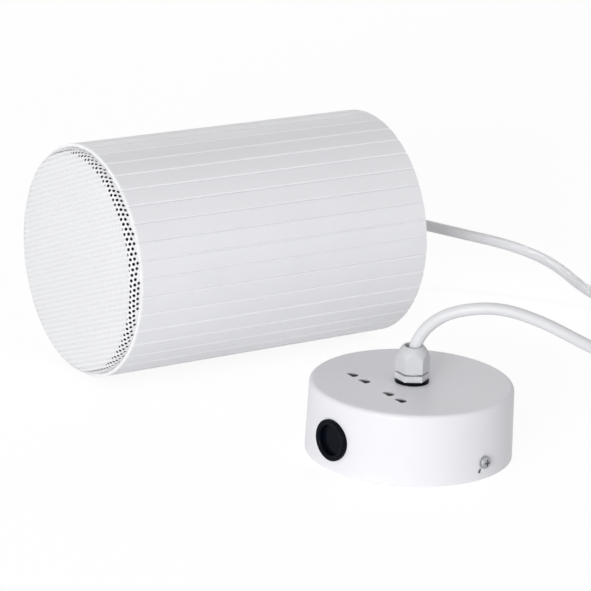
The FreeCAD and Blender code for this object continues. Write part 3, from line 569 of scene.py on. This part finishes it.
def grille_profile(reach):
    """Point and outward normal on the pan at an arc length from its apex, along the axis and outwards."""
    ball = (GRILLE_FACE ** 2 + GRILLE_CROWN ** 2) / (2 * GRILLE_CROWN)
    face_end = ball * math.asin(GRILLE_FACE / ball)
    shoulder_end = face_end + GRILLE_SHOULDER * math.pi / 2
    if reach <= face_end:
        angle = reach / ball
        along = ball * (1 - math.cos(angle)) - GRILLE_RISE
        return along, ball * math.sin(angle), -math.cos(angle), math.sin(angle)
    if reach <= shoulder_end:
        angle = (reach - face_end) / GRILLE_SHOULDER
        along = GRILLE_SHOULDER * (1 - math.cos(angle)) - GRILLE_EDGE
        radius = GRILLE_FACE + GRILLE_SHOULDER * math.sin(angle)
        return along, radius, -math.cos(angle), math.sin(angle)
    return reach - shoulder_end + GRILLE_SHOULDER - GRILLE_EDGE, GRILLE_RADIUS, 0.0, 1.0


def grille_point(u, v, depth):
    """Places a point of the flat sheet on the drawn pan, in metres, sunk below its outside by a depth."""
    along, radius, axial, outward = grille_profile(math.hypot(u, v))
    return round_the_axis(along - axial * depth, radius - outward * depth, math.atan2(v, u))


def tilted(across, up):
    """Turns a place given along and across the rows of holes to the flat sheet's own axes."""
    tilt = math.radians(HOLE_TILT_DEG)
    u = across * math.cos(tilt) - up * math.sin(tilt)
    v = across * math.sin(tilt) + up * math.cos(tilt)
    return u, v


def hole_places(limit):
    """Centres of the holes: rows staggered by half a pitch."""
    rows = int(limit / HOLE_ROW_STEP) + 1
    columns = int(limit / HOLE_PITCH) + 2
    for row in range(-rows, rows + 1):
        for column in range(-columns, columns + 1):
            across = HOLE_PITCH * (column + 0.5 * (row % 2))
            up = HOLE_ROW_STEP * row
            if math.hypot(across, up) < limit:
                yield tilted(across, up)


def cell_outline():
    """Corners and edge middles of the six-sided piece of sheet round one hole."""
    half = HOLE_PITCH / 2
    low = (HOLE_ROW_STEP ** 2 - half ** 2) / (2 * HOLE_ROW_STEP)
    high = (HOLE_ROW_STEP ** 2 + half ** 2) / (2 * HOLE_ROW_STEP)
    corners = [(half, low), (0.0, high), (-half, low), (-half, -low), (0.0, -high), (half, -low)]
    outline = []
    for corner, after in zip(corners, corners[1:] + corners[:1]):
        outline.append(tilted(*corner))
        outline.append(tilted((corner[0] + after[0]) / 2, (corner[1] + after[1]) / 2))
    return outline


def hole_outline(outline):
    """Points of a hole's rim, one in line with each point of its cell."""
    points = []
    for u, v in outline:
        share = HOLE_RADIUS / math.hypot(u, v)
        points.append((u * share, v * share))
    return points


class PerforatedSheet:
    """Cells of sheet that share their edges. A place has two vertices: the outside, then the inside."""

    def __init__(self):
        self.vertices = []
        self.faces = []
        self.on_hole = []
        self.shared = {}
        self.open_edges = {}

    def add_place(self, u, v, on_hole=False):
        for depth in (0.0, GRILLE_SHEET):
            self.vertices.append(grille_point(u, v, depth))
            self.on_hole.append(on_hole)
        return len(self.vertices) - 2

    def shared_place(self, u, v):
        key = (round(u, 3), round(v, 3))
        if key not in self.shared:
            self.shared[key] = self.add_place(u, v)
        return self.shared[key]

    def note_edge(self, first, second):
        """Keeps an edge until a second cell has it too."""
        key = (min(first, second), max(first, second))
        self.open_edges[key] = None if key in self.open_edges else (first, second)

    def add_pierced_cell(self, outer, inner):
        for corner in range(len(outer)):
            a, b = outer[corner], outer[corner - 1]
            c, d = inner[corner - 1], inner[corner]
            self.faces.append((a, b, c, d))
            self.faces.append((d + 1, c + 1, b + 1, a + 1))
            self.faces.append((d, c, c + 1, d + 1))
            self.note_edge(a, b)

    def add_plain_cell(self, outer, middle):
        for corner in range(len(outer)):
            a, b = outer[corner], outer[corner - 1]
            self.faces.append((a, b, middle))
            self.faces.append((middle + 1, b + 1, a + 1))
            self.note_edge(a, b)

    def close_border(self):
        for edge in self.open_edges.values():
            if edge is not None:
                a, b = edge
                self.faces.append((b, a, a + 1, b + 1))


def grille_sheet():
    """The pan's sheet: a six-sided cell at every place of the rows, pierced as far as the holes go."""
    sheet = PerforatedSheet()
    outline = cell_outline()
    rim = hole_outline(outline)
    shoulder_end = GRILLE_FACE + GRILLE_SHOULDER * math.pi / 2
    limit = shoulder_end + GRILLE_EDGE - GRILLE_SHOULDER + SKIRT_COVER
    for u, v in hole_places(limit):
        outer = [sheet.shared_place(u + du, v + dv) for du, dv in outline]
        if math.hypot(u, v) < shoulder_end + HOLES_PAST_SHOULDER:
            inner = [sheet.add_place(u + du, v + dv, on_hole=True) for du, dv in rim]
            sheet.add_pierced_cell(outer, inner)
        else:
            sheet.add_plain_cell(outer, sheet.add_place(u, v))
    sheet.close_border()
    return sheet


def make_grille():
    """Perforated pan, bent over the drawn profile, with crisp edges at its holes."""
    sheet = grille_sheet()
    piece = add_piece("perforated_grille", sheet.vertices, sheet.faces, surfaces["grille_paint"])
    smooth(piece.data)
    for edge in piece.data.edges:
        a, b = edge.vertices
        same_side = a % 2 == b % 2
        if same_side and sheet.on_hole[a] and sheet.on_hole[b]:
            edge.use_edge_sharp = True
    add_skirt()
    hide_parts("front_grille")


def add_skirt():
    """Plain end of the pan's skirt, inside the tube."""
    start = SKIRT_COVER - HOLE_PITCH
    outer = GRILLE_RADIUS - SKIRT_INSET
    inner = GRILLE_RADIUS - GRILLE_SHEET + SKIRT_INSET
    profile = [(start, outer), (SKIRT_END, outer), (SKIRT_END, inner), (start, inner)]
    count = len(profile)
    vertices = []
    faces = []
    for number in range(SKIRT_STEPS):
        angle = 2 * math.pi * number / SKIRT_STEPS
        vertices.extend(round_the_axis(along, radius, angle) for along, radius in profile)
        here = number * count
        there = ((number + 1) % SKIRT_STEPS) * count
        for corner in range(count):
            after = (corner + 1) % count
            faces.append((here + corner, here + after, there + after, there + corner))
    skirt = add_piece("grille_skirt", vertices, faces, surfaces["grille_paint"])


def make_cloth():
    """Acoustic cloth stretched against the back of the perforated face."""
    depth = GRILLE_SHEET + CLOTH_GAP
    vertices = [grille_point(0.0, 0.0, depth)]
    faces = []
    for ring in range(1, CLOTH_RINGS + 1):
        radius = CLOTH_REACH * ring / CLOTH_RINGS
        for number in range(CLOTH_STEPS):
            angle = 2 * math.pi * number / CLOTH_STEPS
            vertices.append(grille_point(radius * math.cos(angle), radius * math.sin(angle), depth))
    for number in range(CLOTH_STEPS):
        after = (number + 1) % CLOTH_STEPS
        faces.append((0, 1 + after, 1 + number))
        for ring in range(CLOTH_RINGS - 1):
            here = 1 + ring * CLOTH_STEPS
            there = here + CLOTH_STEPS
            faces.append((here + number, here + after, there + after, there + number))
    cloth = add_piece("stretched_cloth", vertices, faces, surfaces["acoustic_cloth"])
    smooth(cloth.data)
    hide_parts("grille_cloth")


def coil_points():
    """Turns of the put-away length: the lower layer winds inwards, the upper one outwards."""
    points = []
    for number in range(COIL_POINTS + 1):
        share = number / COIL_POINTS
        angle = math.radians(COIL_START_DEG - COIL_SWEEP_DEG * share)
        inward = 1 - abs(2 * share - 1)
        radius = COIL_OUTER - (COIL_OUTER - COIL_INNER) * inward
        rise = min(1.0, max(0.0, (share - COIL_RISE_FROM) / COIL_RISE_SHARE))
        height = COIL_LOW + (COIL_HIGH - COIL_LOW) * rise
        x = COIL_CENTRE[0] + radius * math.cos(angle)
        y = COIL_CENTRE[1] + radius * math.sin(angle)
        points.append((x, y, height))
    return points


def make_cord():
    """Flex from the back of the tube, through its coil, to the canopy."""
    route = SPEAKER_ROUTE + coil_points() + CANOPY_ROUTE
    curve = bpy.data.curves.new("flex", "CURVE")
    curve.dimensions = "3D"
    spline = curve.splines.new("NURBS")
    spline.points.add(len(route) - 1)
    for point, place in zip(spline.points, route):
        point.co = (*(Vector(place) * MM), 1.0)
    spline.order_u = CORD_CURVE_ORDER
    spline.use_endpoint_u = True
    spline.resolution_u = CORD_CURVE_STEPS
    curve.resolution_u = CORD_CURVE_STEPS
    curve.bevel_depth = CORD_RADIUS * MM
    curve.bevel_resolution = CORD_ROUND_STEPS
    curve.use_fill_caps = True
    curve.materials.append(surfaces["cord_jacket"])
    cord = bpy.data.objects.new("flex", curve)
    scene.collection.objects.link(cord)
    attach(cord, "housing")
    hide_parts("cord_speaker_run", "cord_coil", "cord_canopy_run")


# Stage


def background_rays(tree):
    """1 for rays that show the background: seen directly, mirrored or through glass."""
    path = tree.nodes.new("ShaderNodeLightPath")
    seen = combine(tree, "MAXIMUM", path.outputs["Is Camera Ray"], path.outputs["Is Glossy Ray"])
    return combine(tree, "MAXIMUM", seen, path.outputs["Is Transmission Ray"])


def diffuse(tree, grey):
    node = tree.nodes.new("ShaderNodeBsdfDiffuse")
    node.inputs["Color"].default_value = (grey, grey, grey, 1.0)
    return node.outputs["BSDF"]


def floor_material():
    """White where it is seen, with a faint shadow, and a plain pale floor for the light it sends back."""
    material = bpy.data.materials.new("floor_white")
    material.use_nodes = True
    tree = material.node_tree
    tree.nodes.clear()
    output = tree.nodes.new("ShaderNodeOutputMaterial")
    glow = tree.nodes.new("ShaderNodeEmission")
    glow.inputs["Strength"].default_value = FLOOR_GLOW
    seen = tree.nodes.new("ShaderNodeAddShader")
    mix = tree.nodes.new("ShaderNodeMixShader")
    tree.links.new(glow.outputs["Emission"], seen.inputs[0])
    tree.links.new(diffuse(tree, FLOOR_SHADE), seen.inputs[1])
    tree.links.new(background_rays(tree), mix.inputs["Fac"])
    tree.links.new(diffuse(tree, FLOOR_ALBEDO), mix.inputs[1])
    tree.links.new(seen.outputs["Shader"], mix.inputs[2])
    tree.links.new(mix.outputs["Shader"], output.inputs["Surface"])
    return material


def make_floor():
    half = FLOOR_SIDE / 2
    mesh = bpy.data.meshes.new("floor")
    corners = [(-half, -half, 0.0), (half, -half, 0.0), (half, half, 0.0), (-half, half, 0.0)]
    mesh.from_pydata(corners, [], [(0, 1, 2, 3)])
    mesh.materials.append(floor_material())
    floor = bpy.data.objects.new("floor", mesh)
    floor.location.z = -FLOOR_DROP
    scene.collection.objects.link(floor)


def make_world():
    """White where it is seen, and a softer light from all sides on the object."""
    world = bpy.data.worlds.new("studio")
    scene.world = world
    world.use_nodes = True
    tree = world.node_tree
    background = tree.nodes["Background"]
    background.inputs["Color"].default_value = (1.0, 1.0, 1.0, 1.0)
    seen = combine(tree, "MULTIPLY", background_rays(tree), 1.0 - AMBIENT)
    tree.links.new(combine(tree, "ADD", seen, AMBIENT), background.inputs["Strength"])


def add_lamp(name, target, setting, spread_deg):
    """A rectangular lamp facing a target."""
    azimuth, elevation, distance, width, height, power = setting
    lamp = bpy.data.lights.new(name, "AREA")
    lamp.shape = "RECTANGLE"
    lamp.size = width
    lamp.size_y = height
    lamp.energy = power
    lamp.spread = math.radians(spread_deg)
    level = math.cos(math.radians(elevation))
    angle = math.radians(azimuth)
    way = Vector((level * math.cos(angle), level * math.sin(angle), math.sin(math.radians(elevation))))
    holder = bpy.data.objects.new(name, lamp)
    holder.location = target + way * distance
    holder.rotation_euler = (-way).to_track_quat("-Z", "Y").to_euler()
    scene.collection.objects.link(holder)


def make_lamps():
    for name, setting in LAMPS.items():
        add_lamp(name, LAMP_TARGET, setting, LAMP_SPREAD_DEG)
    add_lamp("cord_light", CORD_LAMP_TARGET, CORD_LAMP, CORD_LAMP_SPREAD_DEG)


def make_camera():
    camera = bpy.data.cameras.new("photo_camera")
    camera.sensor_fit = "HORIZONTAL"
    camera.sensor_width = CAMERA_SENSOR
    camera.lens = CAMERA_LENS
    back = -CAMERA_FORWARD.normalized()
    right = CAMERA_UP.cross(back).normalized()
    up = back.cross(right)
    turn = Matrix((right, up, back)).transposed().to_4x4()
    holder = bpy.data.objects.new("photo_camera", camera)
    holder.matrix_world = Matrix.Translation(CAMERA_PLACE) @ turn
    scene.collection.objects.link(holder)
    scene.camera = holder


make_camera()
make_world()
make_lamps()
make_floor()
dress_nodes()
make_cord()
make_grille()
make_cloth()
